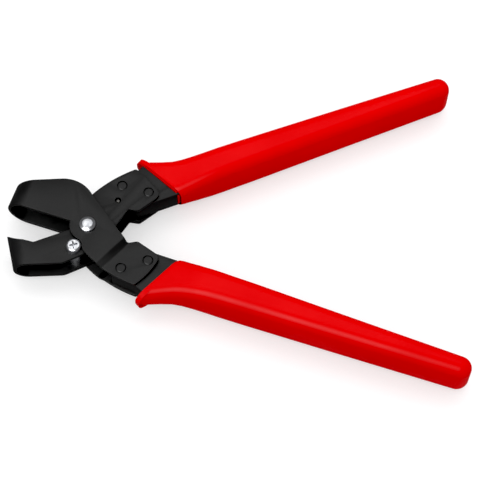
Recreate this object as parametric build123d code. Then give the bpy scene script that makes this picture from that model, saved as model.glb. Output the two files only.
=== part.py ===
from build123d import *

import math
import os

# Hand notching pliers lying on their side, jaws open. Millimetres, +Z up.
# The origin is on the pivot axis, in the flat underside of the pivot nut.
# +X runs to the handles, -X to the jaws, +Y to the upper jaw and the upper handle.
# The arms mirror each other about the XZ plane while the jaws are open.

# ---- driving dimensions -------------------------------------------------------
sheet = 2.0                      # steel sheet that both jaws are bent from
punch_width = 16.0               # width over the inner jaw, the notch that it cuts
jaw_gap = 0.15                   # cutting clearance on each side of the inner jaw
bar_thickness = punch_width - 2 * sheet

nut_height = 2.7                 # thin M5 nut
pivot_nut_width = 8.0
pivot_head_height = 1.8
pivot_head_radius = 4.25
pivot_head_bevel = 0.7
pivot_shank_radius = 3.0
pivot_thread_radius = 2.5
bush_radius = 4.5
running_fit = 0.05               # radial clearance of turning pieces
seat_fit = 0.02                  # radial clearance of fixed pieces
nut_easing = 0.2                 # below the corners of a nut's outer face

outer_jaw_angle = 160.4          # direction of the cutting edge, pivot to nose
outer_jaw_reach = 45.6
inner_jaw_angle = 191.8
inner_jaw_reach = 42.3

rivet_radius = 2.7
rivet_bevel = 0.3
rivet_places = [("front", 17.5, 23.9), ("rear", 31.4, 19.8)]
anchor_hole = (15.4, 15.2)       # takes one end of the opening spring
anchor_hole_radius = 1.6

stop_screw_place = (-7.0, -11.7)
stop_head_radius = 4.0           # M4 pan head
stop_head_height = 2.7
stop_thread_radius = 2.0
stop_pocket_gap = 0.1
spacer_radius = 3.5
stop_nut_height = 3.2
stop_nut_width = 7.0
stop_head_rounding = 1.4
stop_thread_bevel = 0.4
stop_thread_overhang = 0.6       # past the nut
recess_span = 4.4                # cross recess, tip to tip
recess_width = 0.9
recess_depth = 2.0
recess_turn = 12.0

hub_relief = 9.45                # edge of the hub that the stop screw sweeps past
arm_end_radius = 41.6            # riveted end, an arc about the pivot

joggle_angle = 45.0              # the joggle lies square to this direction
joggle_start = 18.9
joggle_end = 22.4
joggle_bend = 1.2
nose_zone_edge = -20.0           # the bent nose is built left of this X

grip_half_thickness = 12.6
grip_rim_half_thickness = 8.6
grip_rounding = 5.0              # along the grip's long edges
grip_end_rounding = 6.2
handle_angle = 20.5              # each handle's slant from the XZ plane

wire_radius = 0.8
coil_radius = 5.7
coil_pitch = 1.75
full_turns = 3                   # whole turns of the coil, before the part turn
wire_bend = 1.5
tip_recess = 1.0                 # the moving end stops short of the jaw's face
seat_leg_length = 27.4
seat_depth = 7.0
seat_clearance = 0.15

# ---- levels, from the sheet and the widths ----------------------------------------
inner_face = punch_width / 2                     # outer face of the inner jaw
outer_inside = inner_face + jaw_gap              # inside of the outer jaw
outer_face = outer_inside + sheet                # outer face of the outer jaw
mid_plane = outer_face + nut_height              # height of the tool's middle
reach = 300.0                                    # longer than anything here


# ---- small helpers ---------------------------------------------------------------
def polar(radius, angle):
    a = math.radians(angle)
    return (radius * math.cos(a), radius * math.sin(a))


def jaw_point(angle, along, across):
    """A plan point from its distances along a jaw and across it towards +Y."""
    a = math.radians(angle)
    x = along * math.cos(a) + across * math.sin(a)
    y = along * math.sin(a) - across * math.cos(a)
    return (x, y)


def mirrored(point):
    return (point[0], -point[1])


def slab(outline, low, high):
    """A plan outline extruded between two heights measured from the mid-plane."""
    face = make_face(outline)
    return Pos(0, 0, mid_plane + low) * extrude(face, amount=high - low, dir=(0, 0, 1))


def rod(radius, low, high, place=(0, 0)):
    height = high - low
    centre = mid_plane + (low + high) / 2
    return Pos(place[0], place[1], centre) * Cylinder(radius, height)


def upright_edges(solid):
    return solid.edges().filter_by(Axis.Z)


def round_uprights(solid, place, radius):
    """Round the upright edges nearest to a plan point."""
    def distance(edge):
        middle = edge.center()
        return math.hypot(middle.X - place[0], middle.Y - place[1])

    near = [edge for edge in upright_edges(solid) if distance(edge) < 0.6]
    return fillet(near, radius)


# ---- arms, shared by both jaws --------------------------------------------------------
arm_heel = (-1.8, 15.0)
arm_back = (10.9, 26.2)
arm_shoulder = polar(arm_end_radius, 53.7)
arm_end_middle = polar(arm_end_radius, 41.0)
arm_toe = polar(arm_end_radius, 25.2)
arm_bump = (26.0, 8.9)
arm_waist = (20.7, 9.8)
hub_side = polar(hub_relief, 121.0)


def arm_outline(side):
    """The arm's edge from the waist round the riveted end to the hub's side."""
    points = [arm_waist, arm_bump, arm_toe, arm_end_middle,
              arm_shoulder, arm_back, arm_heel, hub_side]
    waist, bump, toe, middle, shoulder, back, heel, hub = [
        (x, side * y) for x, y in points]
    edges = Polyline(waist, bump, toe)
    edges += ThreePointArc(toe, middle, shoulder)
    edges += ThreePointArc(shoulder, back, heel)
    edges += Line(heel, hub)
    return edges


def soften_arm(solid, side):
    for place, radius in [(arm_bump, 2.5), (arm_toe, 3.5), (arm_shoulder, 1.5),
                          (arm_waist, 1.0)]:
        solid = round_uprights(solid, (place[0], side * place[1]), radius)
    return solid


def u_band(angle, jaw_reach, half_width):
    """A sheet bent into a U round the nose, running along a jaw."""
    bend_at = jaw_reach - half_width
    skin = Cylinder(half_width, reach, rotation=(90, 0, 0))
    skin -= Cylinder(half_width - sheet, reach, rotation=(90, 0, 0))
    skin &= Pos(half_width, 0, 0) * Box(2 * half_width, reach, 3 * half_width)
    flank = Pos(-reach / 2, 0, half_width - sheet / 2) * Box(reach, reach, sheet)
    band = skin + flank + mirror(flank, Plane.XY)
    return Rot(0, 0, angle) * Pos(bend_at, 0, 0) * band


def nose_zone():
    """The half space that holds both noses."""
    return Pos(nose_zone_edge - reach / 2, 0, mid_plane) * Box(reach, reach, reach)


# ---- inner jaw: lower jaw and upper arm ---------------------------------------------
lower_nose_top = jaw_point(inner_jaw_angle, inner_jaw_reach, 6.6)
lower_nose_bottom = jaw_point(inner_jaw_angle, inner_jaw_reach, -12.9)
toe_rise = jaw_point(inner_jaw_angle, 39.9, 3.4)
toe_root = jaw_point(inner_jaw_angle, 34.3, 0.1)
vee_bottom = jaw_point(inner_jaw_angle, 29.2, -2.6)
punch_root = polar(hub_relief, 190.0)
hub_back = polar(hub_relief, 160.0)
belly_corner = (-12.9, -20.6)
waist_foot = (5.8, -12.1)


def inner_jaw_outline():
    edges = arm_outline(1)
    edges += ThreePointArc(hub_side, hub_back, punch_root)
    edges += Polyline(punch_root, vee_bottom, toe_root)
    edges += ThreePointArc(toe_root, toe_rise, lower_nose_top)
    edges += Polyline(lower_nose_top, lower_nose_bottom, belly_corner,
                      waist_foot, arm_waist)
    return edges


def make_inner_jaw():
    plan = slab(inner_jaw_outline(), -inner_face, inner_face)
    plan = soften_arm(plan, 1)
    plan = round_uprights(plan, belly_corner, 8.0)
    plan = round_uprights(plan, waist_foot, 3.0)
    band = Pos(0, 0, mid_plane) * u_band(inner_jaw_angle, inner_jaw_reach, inner_face)
    flanks = Pos(reach / 2 + nose_zone_edge, 0, mid_plane) * Box(reach, reach, punch_width)
    flanks -= Pos(0, 0, mid_plane) * Box(3 * reach, 3 * reach, bar_thickness)
    jaw = (plan & band & nose_zone()) + (plan & flanks)
    jaw -= rod(pivot_shank_radius + running_fit, -inner_face, inner_face)
    jaw -= rod(stop_thread_radius + running_fit, -inner_face, inner_face, stop_screw_place)
    jaw -= rod(anchor_hole_radius, -inner_face, inner_face, anchor_hole)
    for _, x, y in rivet_places:
        jaw -= rod(rivet_radius + seat_fit, -inner_face, inner_face, (x, y))
    return jaw


# ---- outer jaw: upper jaw and lower arm --------------------------------------------
cutting_line = -0.5
die_root_along = math.sqrt(hub_relief ** 2 - cutting_line ** 2)
die_root = jaw_point(outer_jaw_angle, die_root_along, cutting_line)
upper_nose_bottom = jaw_point(outer_jaw_angle, outer_jaw_reach, cutting_line)
upper_nose_top = jaw_point(outer_jaw_angle, outer_jaw_reach, 11.9)
crown_start = jaw_point(outer_jaw_angle, 22.0, 21.2)
crown_top = jaw_point(outer_jaw_angle, 12.5, 21.8)
neck = (2.15, 17.4)


def outer_jaw_outline():
    edges = arm_outline(-1)
    edges += ThreePointArc(mirrored(hub_side), polar(hub_relief, 195.0), die_root)
    edges += Polyline(die_root, upper_nose_bottom, upper_nose_top, crown_start)
    edges += ThreePointArc(crown_start, crown_top, neck)
    edges += Line(neck, mirrored(arm_waist))
    return edges


def joggled_sheet():
    """The flank's sheet, stepped in by one sheet and the gap past the joggle."""
    step = outer_face - inner_face
    slope = math.atan2(step, joggle_end - joggle_start)
    shift = sheet * math.tan(slope / 2)
    section = Polyline((-reach, outer_face), (joggle_start, outer_face),
                       (joggle_end, inner_face), (reach, inner_face),
                       (reach, inner_face - sheet),
                       (joggle_end - shift, inner_face - sheet),
                       (joggle_start - shift, outer_inside),
                       (-reach, outer_inside), close=True)
    upright = Plane.XZ * make_face(section)
    sheet_solid = extrude(upright, amount=reach, both=True)
    bends = [edge for edge in sheet_solid.edges().filter_by(Axis.Y)
             if abs(edge.center().X) < reach / 2]
    sheet_solid = fillet(bends, joggle_bend)
    return Rot(0, 0, -joggle_angle) * sheet_solid


def make_outer_jaw():
    plan = slab(outer_jaw_outline(), -outer_face, outer_face)
    plan = soften_arm(plan, -1)
    plan = round_uprights(plan, neck, 0.8)
    plan -= rod(stop_head_radius + stop_pocket_gap, -outer_face, outer_face,
                stop_screw_place)
    band = Pos(0, 0, mid_plane) * u_band(outer_jaw_angle, outer_jaw_reach, outer_face)
    upper_sheet = joggled_sheet()
    sheets = Pos(0, 0, mid_plane) * (upper_sheet + mirror(upper_sheet, Plane.XY))
    jaw = (plan & band & nose_zone()) + ((plan & sheets) - nose_zone())
    jaw -= rod(pivot_shank_radius + seat_fit, -outer_face, outer_face)
    for _, x, y in rivet_places:
        jaw -= rod(rivet_radius + seat_fit, -inner_face, inner_face, (x, -y))
    return jaw


# ---- handle bars ------------------------------------------------------------------
bar_half = bar_thickness / 2
bar_front_outer = (11.6, 26.1)
bar_front_inner = (21.5, 12.2)
bar_inner_bump = (25.6, 10.2)
bar_inner_rear = (33.6, 14.5)
bar_at_grip = (48.0, 19.9)
tang_root_inner = (67.6, 30.9)
tang_tail_inner = (173.4, 71.0)
tang_tail_outer = (170.6, 78.4)
tang_root_outer = (64.4, 39.3)
bar_guard_valley = (44.0, 35.4)
bar_guard = (28.6, 36.6)
bar_shoulder = (24.2, 32.4)


def make_bar(side, drilled):
    points = [bar_front_outer, bar_front_inner, bar_inner_bump, bar_inner_rear,
              bar_at_grip, tang_root_inner, tang_tail_inner, tang_tail_outer,
              tang_root_outer, bar_guard_valley, bar_guard, bar_shoulder]
    outline = Polyline(*[(x, side * y) for x, y in points], close=True)
    bar = slab(outline, -bar_half, bar_half)
    for point, radius in [(bar_front_outer, 1.5), (bar_inner_bump, 2.0),
                          (tang_root_inner, 20.0), (tang_root_outer, 20.0),
                          (tang_tail_inner, 3.0), (tang_tail_outer, 3.0),
                          (bar_guard, 1.5)]:
        bar = round_uprights(bar, (point[0], side * point[1]), radius)
    if drilled:
        bar -= spring_seat()
    for _, x, y in rivet_places:
        bar -= rod(rivet_radius + seat_fit, -bar_half, bar_half, (x, side * y))
    return bar


# ---- grips --------------------------------------------------------------------------
guard_tip = (24.4, 38.6)
guard_top = (25.6, 39.5)
guard_valley = (44.0, 38.1)
grip_shoulder = (52.4, 40.7)
grip_end_outer = (191.4, 88.7)
grip_end_inner = (196.1, 76.8)
grip_front_inner = (50.0, 18.6)
grip_rim_inner = (47.2, 17.9)


def side_profile(side):
    """Full height against the distance along the handle, seen from its side."""
    stations = [(20.0, 5.6), (38.0, 6.2), (50.0, grip_rim_half_thickness),
                (72.0, grip_half_thickness), (215.0, grip_half_thickness)]
    lower = [(s, -h) for s, h in reversed(stations)]
    face = Plane.XZ * make_face(Polyline(*stations, *lower, close=True))
    profile = extrude(face, amount=reach, both=True)
    return Pos(0, 0, mid_plane) * Rot(0, 0, side * handle_angle) * profile


def on_front_edge(edge, side):
    """True for an edge on the grip's slanting front, from guard tip to rim."""
    middle = edge.center()
    along = (middle.X - guard_tip[0]) / (grip_rim_inner[0] - guard_tip[0])
    front_y = guard_tip[1] + along * (grip_rim_inner[1] - guard_tip[1])
    return abs(side * middle.Y - front_y) < 1.0


def make_grip(side, bar):
    points = [grip_rim_inner, grip_front_inner, grip_end_inner, grip_end_outer,
              grip_shoulder, guard_valley, guard_top, guard_tip]
    outline = Polyline(*[(x, side * y) for x, y in points], close=True)
    grip = slab(outline, -grip_half_thickness, grip_half_thickness)
    for point, radius in [(grip_end_inner, grip_end_rounding),
                          (grip_end_outer, grip_end_rounding),
                          (guard_valley, 14.0)]:
        grip = round_uprights(grip, (point[0], side * point[1]), radius)
    levels = grip.edges().filter_by(Axis.Z, reverse=True)
    long_edges = [edge for edge in levels if not on_front_edge(edge, side)]
    grip = fillet(long_edges, grip_rounding)
    grip &= side_profile(side)
    return grip - bar


# ---- rivets, pivot and stop screw ----------------------------------------------------
def make_rivet(x, y):
    pin = rod(rivet_radius, -inner_face, inner_face, (x, y))
    ends = pin.edges().filter_by(GeomType.CIRCLE)
    return chamfer(ends, rivet_bevel)


def make_pivot_bolt():
    head = rod(pivot_head_radius, outer_face, outer_face + pivot_head_height)
    head = chamfer(head.edges().group_by(Axis.Z)[-1], pivot_head_bevel)
    shank = rod(pivot_shank_radius, -outer_inside, outer_face)
    thread = rod(pivot_thread_radius, -mid_plane, -outer_inside)
    return head + shank + thread


def hexagon_nut(width, bore_radius, low, high, place, turn):
    """A nut between two levels, with the corners of its lower face eased."""
    height = high - low
    centre = Pos(place[0], place[1], mid_plane + (low + high) / 2)
    hexagon = Rot(0, 0, turn) * RegularPolygon(width / 2, 6, major_radius=False)
    nut = centre * extrude(hexagon, amount=height / 2, both=True)
    corner = width / math.sqrt(3)
    easing = corner - width / 2 + nut_easing
    skirt = Cylinder(corner, height)
    skirt = chamfer(skirt.edges().group_by(Axis.Z)[0], easing / 2, easing)
    return (nut & centre * skirt) - rod(bore_radius, low, high, place)


def cross_recess():
    """A tapered cross, pointing down from its top at the origin."""
    blades = Box(recess_span, recess_width, recess_depth)
    blades += Box(recess_width, recess_span, recess_depth)
    taper = Cone(recess_width / 3, recess_span / 2, recess_depth)
    return Pos(0, 0, -recess_depth / 2) * Rot(0, 0, recess_turn) * (blades & taper)


def make_stop_screw():
    x, y = stop_screw_place
    top = inner_face + stop_head_height
    head = rod(stop_head_radius, inner_face, top, stop_screw_place)
    head = fillet(head.edges().group_by(Axis.Z)[-1], stop_head_rounding)
    head -= Pos(x, y, mid_plane + top) * cross_recess()
    tip = -inner_face - stop_nut_height - stop_thread_overhang
    shank = rod(stop_thread_radius, tip, inner_face, stop_screw_place)
    shank = chamfer(shank.edges().group_by(Axis.Z)[0], stop_thread_bevel)
    return head + shank


def make_sleeve(radius, bore_radius, place=(0, 0)):
    """A plain sleeve standing between the inner jaw's two flanks."""
    half = bar_thickness / 2
    return rod(radius, -half, half, place) - rod(bore_radius, -half, half, place)


# ---- opening spring ----------------------------------------------------------------
# A torsion spring round the bush. Its wire comes from a drilled seat in the lower
# bar, climbs clockwise round the bush and ends in the upper arm's anchor hole.
def spring_coil():
    anchor_distance = math.hypot(*anchor_hole)
    tangent_turn = math.degrees(math.acos(coil_radius / anchor_distance))
    anchor_angle = math.degrees(math.atan2(anchor_hole[1], anchor_hole[0]))
    leg_angle = anchor_angle + tangent_turn
    turns = full_turns + (360.0 - 2 * leg_angle) / 360.0
    height = turns * coil_pitch
    coil = Helix(coil_pitch, height, coil_radius, lefthand=True)
    return Pos(0, 0, mid_plane - height / 2) * Rot(0, 0, -leg_angle) * coil


def seat_leg_point(coil, length):
    """A point on the fixed leg, measured back from where the coil starts."""
    return coil @ 0 - (coil % 0) * length


def make_spring():
    coil = spring_coil()
    seat_end = seat_leg_point(coil, seat_leg_length)
    direction = coil % 1
    plan_run = math.sqrt(math.hypot(*anchor_hole) ** 2 - coil_radius ** 2)
    slope = direction.Z / math.hypot(direction.X, direction.Y)
    corner = Vector(*anchor_hole, (coil @ 1).Z + plan_run * slope)
    tip = Vector(*anchor_hole, mid_plane + inner_face - tip_recess)
    fixed_leg = Line(seat_end, coil @ 0)
    moving_leg = FilletPolyline(coil @ 1, corner, tip, radius=wire_bend)
    path = Wire(fixed_leg.edges() + coil.edges() + moving_leg.edges())
    section = Plane(origin=seat_end, z_dir=coil % 0) * Circle(wire_radius)
    return sweep(section, path=path)


def spring_seat():
    """The hole drilled into the lower bar's front for the fixed leg."""
    coil = spring_coil()
    bottom = seat_leg_point(coil, seat_leg_length + wire_radius)
    drill = Plane(origin=bottom, z_dir=coil % 0) * Circle(wire_radius + seat_clearance)
    return extrude(drill, amount=seat_depth)


def export_all():
    os.makedirs("parts", exist_ok=True)
    upper_bar = make_bar(1, drilled=False)
    lower_bar = make_bar(-1, drilled=True)
    nodes = {
        "outer_jaw": make_outer_jaw(),
        "inner_jaw": make_inner_jaw(),
        "upper_handle_bar": upper_bar,
        "lower_handle_bar": lower_bar,
        "upper_grip": make_grip(1, upper_bar),
        "lower_grip": make_grip(-1, lower_bar),
        "pivot_bolt": make_pivot_bolt(),
        "pivot_nut": hexagon_nut(pivot_nut_width, pivot_thread_radius + seat_fit,
                                 -mid_plane, -outer_face, (0, 0), 0),
        "pivot_bush": make_sleeve(bush_radius, pivot_shank_radius + running_fit),
        "stop_screw": make_stop_screw(),
        "stop_screw_spacer": make_sleeve(spacer_radius, stop_thread_radius + running_fit,
                                         stop_screw_place),
        "stop_screw_nut": hexagon_nut(stop_nut_width, stop_thread_radius + seat_fit,
                                      -inner_face - stop_nut_height, -inner_face,
                                      stop_screw_place, 30),
        "opening_spring": make_spring(),
    }
    for name, x, y in rivet_places:
        nodes["upper_" + name + "_rivet"] = make_rivet(x, y)
        nodes["lower_" + name + "_rivet"] = make_rivet(x, -y)
    for name, shape in nodes.items():
        export_step(shape, "parts/" + name + ".step")


export_all()
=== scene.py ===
import math

import bpy
from mathutils import Matrix, Vector


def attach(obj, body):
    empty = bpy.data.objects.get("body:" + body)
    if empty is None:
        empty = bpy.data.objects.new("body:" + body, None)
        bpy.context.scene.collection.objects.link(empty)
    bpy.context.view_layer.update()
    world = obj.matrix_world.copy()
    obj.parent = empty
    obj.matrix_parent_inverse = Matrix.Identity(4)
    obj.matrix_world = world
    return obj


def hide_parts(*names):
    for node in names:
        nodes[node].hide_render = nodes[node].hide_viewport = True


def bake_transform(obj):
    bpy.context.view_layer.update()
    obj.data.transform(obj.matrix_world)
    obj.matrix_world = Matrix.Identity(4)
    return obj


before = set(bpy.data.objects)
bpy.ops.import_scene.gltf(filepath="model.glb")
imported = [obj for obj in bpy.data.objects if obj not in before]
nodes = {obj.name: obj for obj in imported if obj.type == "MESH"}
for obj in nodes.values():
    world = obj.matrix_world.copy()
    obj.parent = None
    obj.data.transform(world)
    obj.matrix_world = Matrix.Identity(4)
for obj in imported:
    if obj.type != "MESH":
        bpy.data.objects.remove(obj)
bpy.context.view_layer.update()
mm = 0.001
midHeight = 12.85  # mm, the height of the tool's middle plane

# the view, set first so that every piece can be judged from it
viewValues = {
    "target": (79.1, -5.04, 12.85),  # mm
    "elevation": 64.0,
    "turn": -1.35,
    "roll": 0.52,
    "distance": 864.75,  # mm
    "lens": 123.84,
}


def setCamera():
    elevation = math.radians(viewValues["elevation"])
    turn = math.radians(viewValues["turn"])
    away = Vector((math.sin(turn) * math.cos(elevation),
                   -math.cos(turn) * math.cos(elevation),
                   math.sin(elevation)))
    place = (Vector(viewValues["target"]) + away * viewValues["distance"]) * mm
    camera = bpy.data.objects.new("camera", bpy.data.cameras.new("camera"))
    bpy.context.scene.collection.objects.link(camera)
    camera.data.lens = viewValues["lens"]
    camera.data.clip_start = 0.01
    camera.matrix_world = (Matrix.Translation(place)
                           @ Matrix.Rotation(turn, 4, "Z")
                           @ Matrix.Rotation(math.pi / 2 - elevation, 4, "X")
                           @ Matrix.Rotation(math.radians(viewValues["roll"]), 4, "Z"))
    bpy.context.scene.camera = camera


setCamera()
print("camera set")

def startFresh():
    if bpy.context.object and bpy.context.object.mode == "EDIT":
        bpy.ops.object.mode_set(mode="OBJECT")
    bpy.ops.object.select_all(action="DESELECT")


def newest(name):
    piece = bpy.context.object
    piece.name = name
    piece.data.name = name
    return piece


def openForEdit(piece):
    startFresh()
    bpy.context.view_layer.objects.active = piece
    piece.select_set(True)
    bpy.ops.object.mode_set(mode="EDIT")
    bpy.ops.mesh.select_mode(type="FACE")


def closeEdit():
    bpy.ops.object.mode_set(mode="OBJECT")


def pick(piece, mode, wanted):
    # selects the faces, edges or corners whose place passes the test
    bpy.ops.mesh.select_mode(type=mode)
    bpy.ops.mesh.select_all(action="DESELECT")
    bpy.ops.object.mode_set(mode="OBJECT")
    mesh = piece.data
    if mode == "VERT":
        for corner in mesh.vertices:
            corner.select = bool(wanted(corner.co / mm))
    elif mode == "EDGE":
        for edge in mesh.edges:
            ends = [mesh.vertices[index].co / mm for index in edge.vertices]
            edge.select = bool(wanted(ends[0], ends[1]))
    else:
        for face in mesh.polygons:
            face.select = bool(wanted(face.center / mm, face.normal))
    bpy.ops.object.mode_set(mode="EDIT")


def applyAll(piece):
    startFresh()
    bpy.context.view_layer.objects.active = piece
    piece.select_set(True)
    for name in [modifier.name for modifier in piece.modifiers]:
        bpy.ops.object.modifier_apply(modifier=name)


def settle(piece, smoothAngle=35):
    # leaves the piece at the origin with its place in its mesh
    startFresh()
    bpy.context.view_layer.objects.active = piece
    piece.select_set(True)
    bpy.ops.object.transform_apply(location=True, rotation=True, scale=True)
    bpy.ops.object.shade_smooth_by_angle(angle=math.radians(smoothAngle))


def outwards(piece):
    openForEdit(piece)
    bpy.ops.mesh.select_all(action="SELECT")
    bpy.ops.mesh.remove_doubles(threshold=0.002 * mm)
    bpy.ops.mesh.normals_make_consistent(inside=False)
    closeEdit()


def give(piece, finish, body, replaced):
    piece.data.materials.clear()
    piece.data.materials.append(finish)
    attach(piece, body)
    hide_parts(*replaced)


# shader maths: a socket that can be used in plain expressions
class Signal:
    def __init__(self, tree, socket):
        self.tree = tree
        self.socket = socket

    def maths(self, operation, first, second):
        node = self.tree.nodes.new("ShaderNodeMath")
        node.operation = operation
        for index, item in enumerate((first, second)):
            if isinstance(item, Signal):
                self.tree.links.new(item.socket, node.inputs[index])
            else:
                node.inputs[index].default_value = item
        return Signal(self.tree, node.outputs[0])

    def __add__(self, other):
        return self.maths("ADD", self, other)

    def __mul__(self, other):
        return self.maths("MULTIPLY", self, other)

    __radd__ = __add__
    __rmul__ = __mul__


class NodeBoard:
    def __init__(self, owner):
        owner.use_nodes = True
        self.tree = owner.node_tree
        self.tree.nodes.clear()

    def add(self, kind, settings, sockets, output=0):
        # any node: its settings first, then the values or links of its sockets
        node = self.tree.nodes.new(kind)
        for name, value in settings.items():
            setattr(node, name, value)
        for name, value in sockets.items():
            if isinstance(value, Signal):
                self.tree.links.new(value.socket, node.inputs[name])
            else:
                node.inputs[name].default_value = value
        return Signal(self.tree, node.outputs[output]) if node.outputs else None


class Finish(NodeBoard):
    def __init__(self, name):
        self.material = bpy.data.materials.new(name)
        super().__init__(self.material)
        self.place = self.add("ShaderNodeTexCoord", {}, {}, "Object")

    def noise(self, scale, detail=2.0, roughness=0.5):
        return self.add("ShaderNodeTexNoise", {},
                        {"Vector": self.place, "Scale": scale, "Detail": detail,
                         "Roughness": roughness}, "Fac")

    def between(self, low, high, mask, start=0.35, end=0.65):
        # goes from low to high as the mask rises from start to end
        return self.add("ShaderNodeMapRange", {},
                        {"Value": mask, "From Min": start, "From Max": end,
                         "To Min": low, "To Max": high})

    def mixed(self, first, second, mask):
        return self.add("ShaderNodeMix", {"data_type": "RGBA"},
                        {0: mask, 6: first, 7: second}, 2)

    def surface(self, sockets):
        shader = self.add("ShaderNodeBsdfPrincipled", {}, sockets)
        self.add("ShaderNodeOutputMaterial", {}, {"Surface": shader})
        return self.material


blackValues = {
    "tone": (0.006, 0.006, 0.006, 1),
    "toneWorn": (0.010, 0.010, 0.0102, 1),
    "roughLow": 0.40,
    "roughHigh": 0.50,
    "grain": 1400.0,
    "grainHeight": 0.006,  # mm
    "clouds": 60.0,
    "cloudShare": 0.6,
    "specular": 0.45,
}


def makeBlackSteel(name, values):
    finish = Finish(name)
    clouds = finish.noise(values["clouds"], 4.0)
    grain = finish.noise(values["grain"], 3.0, 0.6)
    tone = finish.mixed(values["tone"], values["toneWorn"],
                        finish.between(0.0, 1.0, clouds))
    rough = finish.between(values["roughLow"], values["roughHigh"],
                           clouds * values["cloudShare"]
                           + grain * (1 - values["cloudShare"]))
    bump = finish.add("ShaderNodeBump", {},
                      {"Strength": 1.0, "Distance": values["grainHeight"] * mm,
                       "Height": grain})
    return finish.surface({"Base Color": tone, "Roughness": rough, "Normal": bump,
                           "Specular IOR Level": values["specular"]})


redValues = {
    "tone": (0.70, 0.002, 0.003, 1),
    "toneDeep": (0.66, 0.001, 0.002, 1),
    "roughLow": 0.30,
    "roughHigh": 0.40,
    "peel": 420.0,
    "peelHeight": 0.01,  # mm
    "clouds": 35.0,
    "specular": 0.09,
}


def makeRedPlastic():
    finish = Finish("redPlastic")
    clouds = finish.noise(redValues["clouds"], 3.0)
    peel = finish.noise(redValues["peel"], 2.0)
    tone = finish.mixed(redValues["tone"], redValues["toneDeep"],
                        finish.between(0.0, 1.0, clouds))
    rough = finish.between(redValues["roughLow"], redValues["roughHigh"], clouds)
    bump = finish.add("ShaderNodeBump", {},
                      {"Strength": 1.0, "Distance": redValues["peelHeight"] * mm,
                       "Height": peel})
    return finish.surface({"Base Color": tone, "Roughness": rough, "Normal": bump,
                           "Specular IOR Level": redValues["specular"]})


metalValues = {"clouds": 500.0, "grain": 2600.0, "grainHeight": 0.003}  # height in mm

zincValues = {
    "tone": (0.68, 0.69, 0.71, 1),
    "toneDull": (0.52, 0.53, 0.56, 1),
    "roughLow": 0.26,
    "roughHigh": 0.36,
}


def makeMetal(name, values):
    finish = Finish(name)
    clouds = finish.noise(metalValues["clouds"], 4.0)
    tone = finish.mixed(values["tone"], values["toneDull"],
                        finish.between(0.0, 1.0, clouds))
    rough = finish.between(values["roughLow"], values["roughHigh"], clouds)
    grain = finish.noise(metalValues["grain"], 2.0)
    bump = finish.add("ShaderNodeBump", {},
                      {"Strength": 1.0,
                       "Distance": metalValues["grainHeight"] * mm,
                       "Height": grain})
    return finish.surface({"Base Color": tone, "Roughness": rough, "Normal": bump,
                           "Metallic": 1.0})


springValues = {
    "tone": (0.10, 0.097, 0.093, 1),
    "toneDull": (0.06, 0.057, 0.054, 1),
    "roughLow": 0.30,
    "roughHigh": 0.42,
}

blackSteel = makeBlackSteel("blackenedSteel", blackValues)
redPlastic = makeRedPlastic()
zinc = makeMetal("zincPlate", zincValues)
springSteel = makeMetal("springSteel", springValues)
print("finishes made")

# jaws and bars, their sheet and plate edges broken as they are on the real tool
edgeValues = {
    # piece, body and width of the broken edge in mm
    "outer_jaw": ("outerJawSheet", "die_side", 0.22),
    "inner_jaw": ("innerJawSheet", "punch_side", 0.22),
    "lower_handle_bar": ("lowerBarPlate", "die_side", 0.8),
    "upper_handle_bar": ("upperBarPlate", "punch_side", 0.8),
}


def breakEdges(nodeName, pieceName, body, width):
    piece = bpy.data.objects.new(pieceName, nodes[nodeName].data.copy())
    bpy.context.scene.collection.objects.link(piece)
    openForEdit(piece)
    bpy.ops.mesh.customdata_custom_splitnormals_clear()
    bpy.ops.mesh.select_all(action="SELECT")
    bpy.ops.mesh.remove_doubles(threshold=0.001 * mm)
    bpy.ops.mesh.dissolve_limited(angle_limit=math.radians(0.5))
    closeEdit()
    bevel = piece.modifiers.new("brokenEdges", "BEVEL")
    bevel.width = width * mm
    bevel.segments = 3
    bevel.limit_method = "ANGLE"
    bevel.angle_limit = math.radians(32)
    bevel.miter_outer = "MITER_ARC"
    bevel.harden_normals = False
    applyAll(piece)
    settle(piece, 40)
    give(piece, blackSteel, body, [nodeName])
    return piece


for nodeName, (pieceName, body, width) in edgeValues.items():
    breakEdges(nodeName, pieceName, body, width)
print("jaws and bars done")

# grips: a section drawn along the handle, rounded, domed and hollowed at its mouth
gripValues = {
    # in mm: x, y and half height of the outer corner, then of the inner corner
    "sections": [
        (24.0, 40.4, 6.8, 47.6, 18.3, 8.4),
        (30.0, 40.0, 7.3, 50.6, 19.3, 9.0),
        (37.0, 39.5, 8.1, 54.2, 20.9, 9.8),
        (43.0, 39.3, 8.9, 57.6, 22.3, 10.6),
        (48.0, 39.9, 9.8, 61.0, 23.8, 11.3),
        (53.5, 41.2, 10.8, 65.0, 25.4, 11.9),
        (60.0, 43.1, 11.7, 70.0, 27.5, 12.4),
        (68.0, 45.8, 12.4, 76.5, 30.2, 12.65),
        (80.0, 49.9, 12.7, 87.5, 34.5, 12.7),
        (130.0, 67.2, 12.7, 135.3, 53.8, 12.7),
        (185.7, 86.3, 12.7, 189.9, 75.7, 12.7),
    ],
    "outerRounding": 5.3,
    "innerRounding": 5.3,
    "endLength": 6.2,
    "endNarrowing": 5.0,
    "endThinning": 6.5,
    "endSteps": 9,
    "lipRounding": 1.2,
    "mouthWall": 0.35,
    "mouthDepth": 2.5,
    "reach": 0.5,  # how near a corner has to be to belong to a section
}


def sectionFacts(section):
    # middle, length, angle and mean half height of a section
    outer, inner = Vector(section[0:2]), Vector(section[3:5])
    across = outer - inner
    return ((outer + inner) / 2, across.length, math.atan2(across.y, across.x),
            (section[2] + section[5]) / 2)


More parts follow.
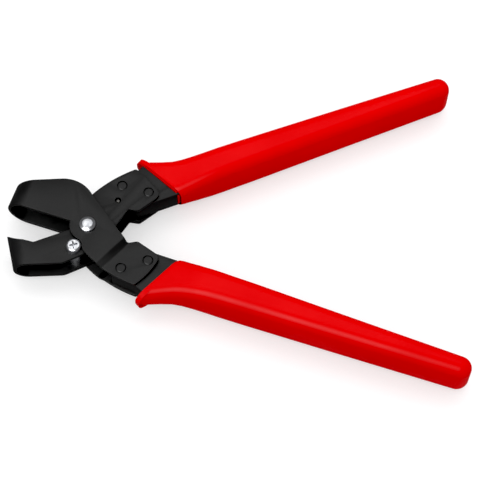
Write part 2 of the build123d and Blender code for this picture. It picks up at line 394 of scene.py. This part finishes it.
def moveSection(centre, length, angle, height, was):
    # turns and stretches the section that is selected, about its own middle
    middle = (centre.x * mm, centre.y * mm, midHeight * mm)
    bpy.ops.transform.rotate(value=was[2] - angle, orient_axis="Z",
                             center_override=middle)
    grow = length / was[1]
    bpy.ops.transform.resize(value=(grow, grow, height / was[3]),
                             center_override=middle)


def isNear(at, x, y):
    return math.hypot(at.x - x, at.y - y) < gripValues["reach"]


def drawGrip():
    sections = gripValues["sections"]
    startFresh()
    first = sectionFacts(sections[0])
    start = (first[0].x * mm, first[0].y * mm, midHeight * mm)
    bpy.ops.mesh.primitive_plane_add(size=mm, location=start,
                                     rotation=(math.pi / 2, 0, 0))
    grip = newest("upperGrip")
    bpy.ops.object.transform_apply(location=True, rotation=True, scale=True)
    openForEdit(grip)
    bpy.ops.mesh.select_all(action="SELECT")
    moveSection(first[0], first[1], first[2], first[3], (None, 1.0, 0.0, 0.5))
    was = first
    for section in sections[1:]:
        now = sectionFacts(section)
        step = (now[0] - was[0]) * mm
        bpy.ops.mesh.extrude_region_move(
            TRANSFORM_OT_translate={"value": (step.x, step.y, 0)})
        moveSection(now[0], now[1], now[2], now[3], was)
        was = now
    for section in sections:  # the guard side is thinner than the inner side
        middle = sectionFacts(section)[3]
        for x, y, height in (section[0:3], section[3:6]):
            pick(grip, "VERT", lambda at: isNear(at, x, y))
            bpy.ops.transform.resize(value=(1, 1, height / middle),
                                     center_override=(0, 0, midHeight * mm))
    closeEdit()
    return grip


def roundGrip(grip):
    # rounds the four long edges
    sections = gripValues["sections"]

    def runsAlong(a, b, side):
        start = 0 if side == "outer" else 3
        return (a.z - midHeight) * (b.z - midHeight) > 0 and any(
            isNear(one, *here[start:start + 2])
            and isNear(other, *there[start:start + 2])
            for here, there in zip(sections, sections[1:])
            for one, other in ((a, b), (b, a)))

    openForEdit(grip)
    for side in ("outer", "inner"):
        pick(grip, "EDGE", lambda a, b: runsAlong(a, b, side))
        bpy.ops.mesh.bevel(offset=gripValues[side + "Rounding"] * mm, segments=8,
                           affect="EDGES", clamp_overlap=False)
    closeEdit()


def shrinkSection(now, was):
    # narrows the picked section across the handle without turning it
    middle = (now[0].x * mm, now[0].y * mm, midHeight * mm)
    turn = Matrix.Rotation(now[2], 3, "Z")
    bpy.ops.transform.resize(
        value=(now[1] / was[1], 1, now[3] / was[3]), center_override=middle,
        orient_matrix=turn, orient_type="GLOBAL", orient_matrix_type="GLOBAL")


def closeEnd(grip):
    # the far end is drawn out in steps that shrink along a quarter circle
    before, last = (sectionFacts(section) for section in gripValues["sections"][-2:])
    run = (last[0] - before[0]).normalized()
    length, height = last[1], last[3]
    steps = gripValues["endSteps"]
    openForEdit(grip)
    pick(grip, "FACE", lambda at, normal: (at.xy - last[0]).length < 1.5 and
         normal.xy.dot(run) > 0.8)
    reached, was = 0.0, last
    for step in range(1, steps + 1):
        turn = math.pi / 2 * step / steps
        reach = gripValues["endLength"] * math.sin(turn)
        shrink = 1 - math.cos(turn)
        now = (last[0] + run * reach, length - 2 * gripValues["endNarrowing"] * shrink,
               last[2], height - gripValues["endThinning"] * shrink)
        move = run * (reach - reached) * mm
        bpy.ops.mesh.extrude_region_move(
            TRANSFORM_OT_translate={"value": (move.x, move.y, 0)})
        shrinkSection(now, was)
        reached, was = reach, now
    closeEdit()


def hollowMouth(grip):
    # rounds the lip of the slanting front and sinks a mouth for the bar into it
    first = gripValues["sections"][0]
    tip = Vector(first[0:2])
    run = (Vector(first[3:5]) - tip).normalized()
    inward = Vector((-run.y, run.x))

    def onMouth(at):
        return abs((at.xy - tip).dot(inward)) < 0.3

    openForEdit(grip)
    pick(grip, "FACE", lambda at, normal: onMouth(at) and normal.x < -0.3)
    bpy.ops.mesh.bevel(offset=gripValues["lipRounding"] * mm, segments=4,
                       affect="EDGES")
    bpy.ops.mesh.inset(thickness=gripValues["mouthWall"] * mm)
    sink = inward * gripValues["mouthDepth"] * mm
    bpy.ops.mesh.extrude_region_move(
        TRANSFORM_OT_translate={"value": (sink.x, sink.y, 0)})
    closeEdit()


upperGrip = drawGrip()
roundGrip(upperGrip)
closeEnd(upperGrip)
hollowMouth(upperGrip)
settle(upperGrip, 40)
bpy.ops.object.duplicate()
lowerGrip = newest("lowerGrip")
openForEdit(lowerGrip)
bpy.ops.mesh.select_all(action="SELECT")
bpy.ops.transform.resize(value=(1, -1, 1), center_override=(0, 0, 0))
closeEdit()
for grip, body, node in ((upperGrip, "punch_side", "upper_grip"),
                         (lowerGrip, "die_side", "lower_grip")):
    outwards(grip)
    settle(grip, 40)
    give(grip, redPlastic, body, [node])
print("grips done")

def turnPiece(name, place, rings, sides):
    # draws a disc up ring by ring
    low, radius = rings[0]
    startFresh()
    bpy.ops.mesh.primitive_circle_add(
        vertices=sides, radius=radius * mm, fill_type="NGON",
        location=(place[0] * mm, place[1] * mm, low * mm))
    piece = newest(name)
    bpy.ops.object.transform_apply(location=True, rotation=True, scale=True)
    openForEdit(piece)
    bpy.ops.mesh.select_all(action="SELECT")
    for (height, nextRadius), (wasHeight, wasRadius) in zip(rings[1:], rings):
        bpy.ops.mesh.extrude_region_move(
            TRANSFORM_OT_translate={"value": (0, 0, (height - wasHeight) * mm)})
        grow = nextRadius / wasRadius
        bpy.ops.transform.resize(
            value=(grow, grow, 1),
            center_override=(place[0] * mm, place[1] * mm, height * mm))
    closeEdit()
    outwards(piece)
    settle(piece, 25)
    return piece


boltValues = {
    # height and radius of each ring in mm, from the thread's end to the head
    "rings": [(0.0, 2.2), (0.3, 2.5), (4.7, 2.5), (4.7, 3.0), (22.95, 3.0),
              (22.95, 4.0), (23.1, 4.25), (23.85, 4.25), (24.05, 4.18), (24.2, 4.0),
              (24.62, 2.95), (24.74, 2.75), (24.8, 2.5)],
    "sides": 72,
}
pivotBolt = turnPiece("pivotBolt", (0, 0), boltValues["rings"], boltValues["sides"])
give(pivotBolt, zinc, "die_side", ["pivot_bolt"])

rivetValues = {
    "face": 8.0,  # mm from the middle to the sheet's face
    # height over the sheet's face and radius of each ring of a head, in mm
    "headRings": [(-0.45, 2.68), (-0.3, 2.62), (-0.06, 2.36), (0.02, 2.2), (0.07, 1.6),
                  (0.1, 0.9)],
    "sides": 48,
    "places": {
        "upper_front": (17.5, 23.9), "upper_rear": (31.4, 19.8),
        "lower_front": (17.5, -23.9), "lower_rear": (31.4, -19.8),
    },
}


def makeRivets():
    face = rivetValues["face"]
    upper = [(midHeight + face + z, radius) for z, radius in rivetValues["headRings"]]
    lower = [(midHeight - face - z, radius)
             for z, radius in reversed(rivetValues["headRings"])]
    for name, place in rivetValues["places"].items():
        side, end = name.split("_")
        rivet = turnPiece(side + end.capitalize() + "Rivet", place, lower + upper,
                          rivetValues["sides"])
        body = "punch_side" if side == "upper" else "die_side"
        give(rivet, blackSteel, body, [name + "_rivet"])


makeRivets()
print("bolt and rivets done")

# opening spring: a wound coil with a leg drawn out of each end
coilValues = {
    # in mm and degrees
    "wireRadius": 0.8,
    "coilRadius": 5.7,
    "pitch": 1.75,
    "turns": 3.337,
    "legAngle": 119.35,
    "fixedLeg": 27.4,
    "movingLeg": 20.88,
    "bendRadius": 1.5,
    "tipHeight": 19.85,
    "wireSides": 14,
    "stepsPerTurn": 40,
    "bendSteps": 8,
}


def windSpring():
    values = coilValues
    angle = math.radians(values["legAngle"])
    height = values["pitch"] * values["turns"]
    low = midHeight - height / 2
    startFresh()
    bpy.ops.mesh.primitive_circle_add(
        vertices=values["wireSides"], radius=values["wireRadius"] * mm,
        location=(values["coilRadius"] * math.cos(angle) * mm,
                  -values["coilRadius"] * math.sin(angle) * mm, low * mm),
        rotation=(math.pi / 2, 0, -angle))
    spring = newest("openingSpring")
    bpy.ops.object.transform_apply(location=True, rotation=True, scale=True)
    wind = spring.modifiers.new("wind", "SCREW")
    wind.axis = "Z"
    wind.angle = -2 * math.pi * values["turns"]
    wind.screw_offset = height * mm
    wind.steps = round(values["stepsPerTurn"] * values["turns"])
    wind.render_steps = wind.steps
    applyAll(spring)
    rise = values["pitch"] / (2 * math.pi * values["coilRadius"])
    coilEnd = Vector((values["coilRadius"] * math.cos(angle),
                      values["coilRadius"] * math.sin(angle), low + height))
    coilStart = Vector((coilEnd.x, -coilEnd.y, low))
    along = Vector((math.sin(angle), -math.cos(angle), rise))
    back = Vector((math.sin(angle), math.cos(angle), -rise))
    openForEdit(spring)

    def drawOut(step):
        bpy.ops.mesh.extrude_edges_move(
            TRANSFORM_OT_translate={"value": tuple(step * mm)})

    def openRing(centre, direction):
        # only the open ring's own corners, not those of the turn beside it
        pick(spring, "VERT", lambda at: (at - centre).length < 1.05 * values["wireRadius"]
             and abs((at - centre).dot(direction.normalized())) < 0.15)

    openRing(coilStart, back)
    drawOut(back * values["fixedLeg"])
    bpy.ops.mesh.edge_face_add()
    openRing(coilEnd, along)
    drawOut(along * (values["movingLeg"] - values["bendRadius"]))
    bendStart = coilEnd + along * (values["movingLeg"] - values["bendRadius"])
    hinge = bendStart + Vector((0, 0, values["bendRadius"]))
    axis = Vector((along.y, -along.x, 0)).normalized()
    bpy.ops.mesh.spin(steps=values["bendSteps"], angle=-math.pi / 2,
                      center=tuple(hinge * mm), axis=tuple(axis))
    drawOut(Vector((0, 0, values["tipHeight"] - hinge.z)))
    bpy.ops.mesh.edge_face_add()
    closeEdit()
    outwards(spring)
    settle(spring, 40)
    spring.data.materials.append(springSteel)
    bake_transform(spring)
    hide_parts("opening_spring")


windSpring()
print("spring done")

# small parts that keep their own shape
for nodeName, material in [("pivot_nut", zinc), ("pivot_bush", springSteel),
                           ("stop_screw", zinc), ("stop_screw_spacer", zinc),
                           ("stop_screw_nut", zinc)]:
    nodes[nodeName].data.materials.clear()
    nodes[nodeName].data.materials.append(material)

# floor and light
stageValues = {
    "floorTone": (0.55, 0.55, 0.55, 1),
    "floorToneOff": (0.53, 0.53, 0.535, 1),
    "floorGlow": 0.5,
    "floorRough": 0.9,
    "floorSize": 6.0,  # metres
    "floorSpecular": 0.1,
    "floorClouds": 4.0,
    "skyLight": 1.32,
    "skyInGloss": 0.2,
    "skyTone": (0.8, 0.8, 0.8, 1),
    "backdropTone": (0.95, 0.95, 0.95, 1),
    "blackLevel": 0.013,
}

lampValues = {
    # name: direction from the tool, distance and size in metres, radiance, and
    # whether it lights surfaces or only puts the shine on their edges
    "backSoftbox": ((0.0, 0.42, 0.90), 1.4, (1.3, 0.6), 1.7, True),
    "frontSoftbox": ((-0.36, -0.50, 0.80), 1.3, (0.9, 0.8), 8.0, False),
}


def layFloor():
    startFresh()
    bpy.ops.mesh.primitive_plane_add(size=stageValues["floorSize"])
    floor = newest("floor")
    openForEdit(floor)
    bpy.ops.mesh.subdivide(number_cuts=3)
    closeEdit()
    finish = Finish("paleFloor")
    tone = finish.mixed(stageValues["floorTone"], stageValues["floorToneOff"],
                        finish.noise(stageValues["floorClouds"]))
    seen = finish.add("ShaderNodeLightPath", {}, {}, "Is Camera Ray")
    glow = finish.mixed((0, 0, 0, 1), (1, 1, 1, 1), seen)
    floor.data.materials.append(finish.surface(
        {"Base Color": tone, "Roughness": stageValues["floorRough"],
         "Specular IOR Level": stageValues["floorSpecular"],
         "Emission Color": glow,
         "Emission Strength": stageValues["floorGlow"]}))
    floor.visible_glossy = False


def hangLamp(name, direction, distance, size, radiance, lights):
    lamp = bpy.data.lights.new(name, "AREA")
    lamp.shape = "RECTANGLE"
    lamp.size, lamp.size_y = size
    lamp.energy = radiance * math.pi * size[0] * size[1]
    holder = bpy.data.objects.new(name, lamp)
    bpy.context.scene.collection.objects.link(holder)
    aim = Vector(direction).normalized()
    target = Vector(viewValues["target"]) * mm
    holder.location = target + aim * distance
    holder.rotation_euler = aim.to_track_quat("Z", "Y").to_euler()
    holder.visible_camera = False
    holder.visible_diffuse = lights


def setSky():
    # the backdrop is pale, and dimmer where a glossy surface mirrors it
    world = bpy.data.worlds.new("studio")
    bpy.context.scene.world = world
    board = NodeBoard(world)

    def glow(strength, tone):
        return board.add("ShaderNodeBackground", {},
                         {"Strength": strength, "Color": stageValues[tone]})

    def over(lower, upper, ray):
        seen = board.add("ShaderNodeLightPath", {}, {}, ray)
        return board.add("ShaderNodeMixShader", {}, {0: seen, 1: lower, 2: upper})

    sky = glow(stageValues["skyLight"], "skyTone")
    sky = over(sky, glow(stageValues["skyInGloss"], "skyTone"), "Is Glossy Ray")
    sky = over(sky, glow(1.0, "backdropTone"), "Is Camera Ray")
    board.add("ShaderNodeOutputWorld", {}, {"Surface": sky})


def setContrast():
    view = bpy.context.scene.view_settings
    view.view_transform = "Standard"
    view.use_curve_mapping = True
    view.curve_mapping.black_level = [stageValues["blackLevel"]] * 3
    view.curve_mapping.update()


layFloor()
for name, values in lampValues.items():
    hangLamp(name, *values)
setSky()
setContrast()
print("stage set")
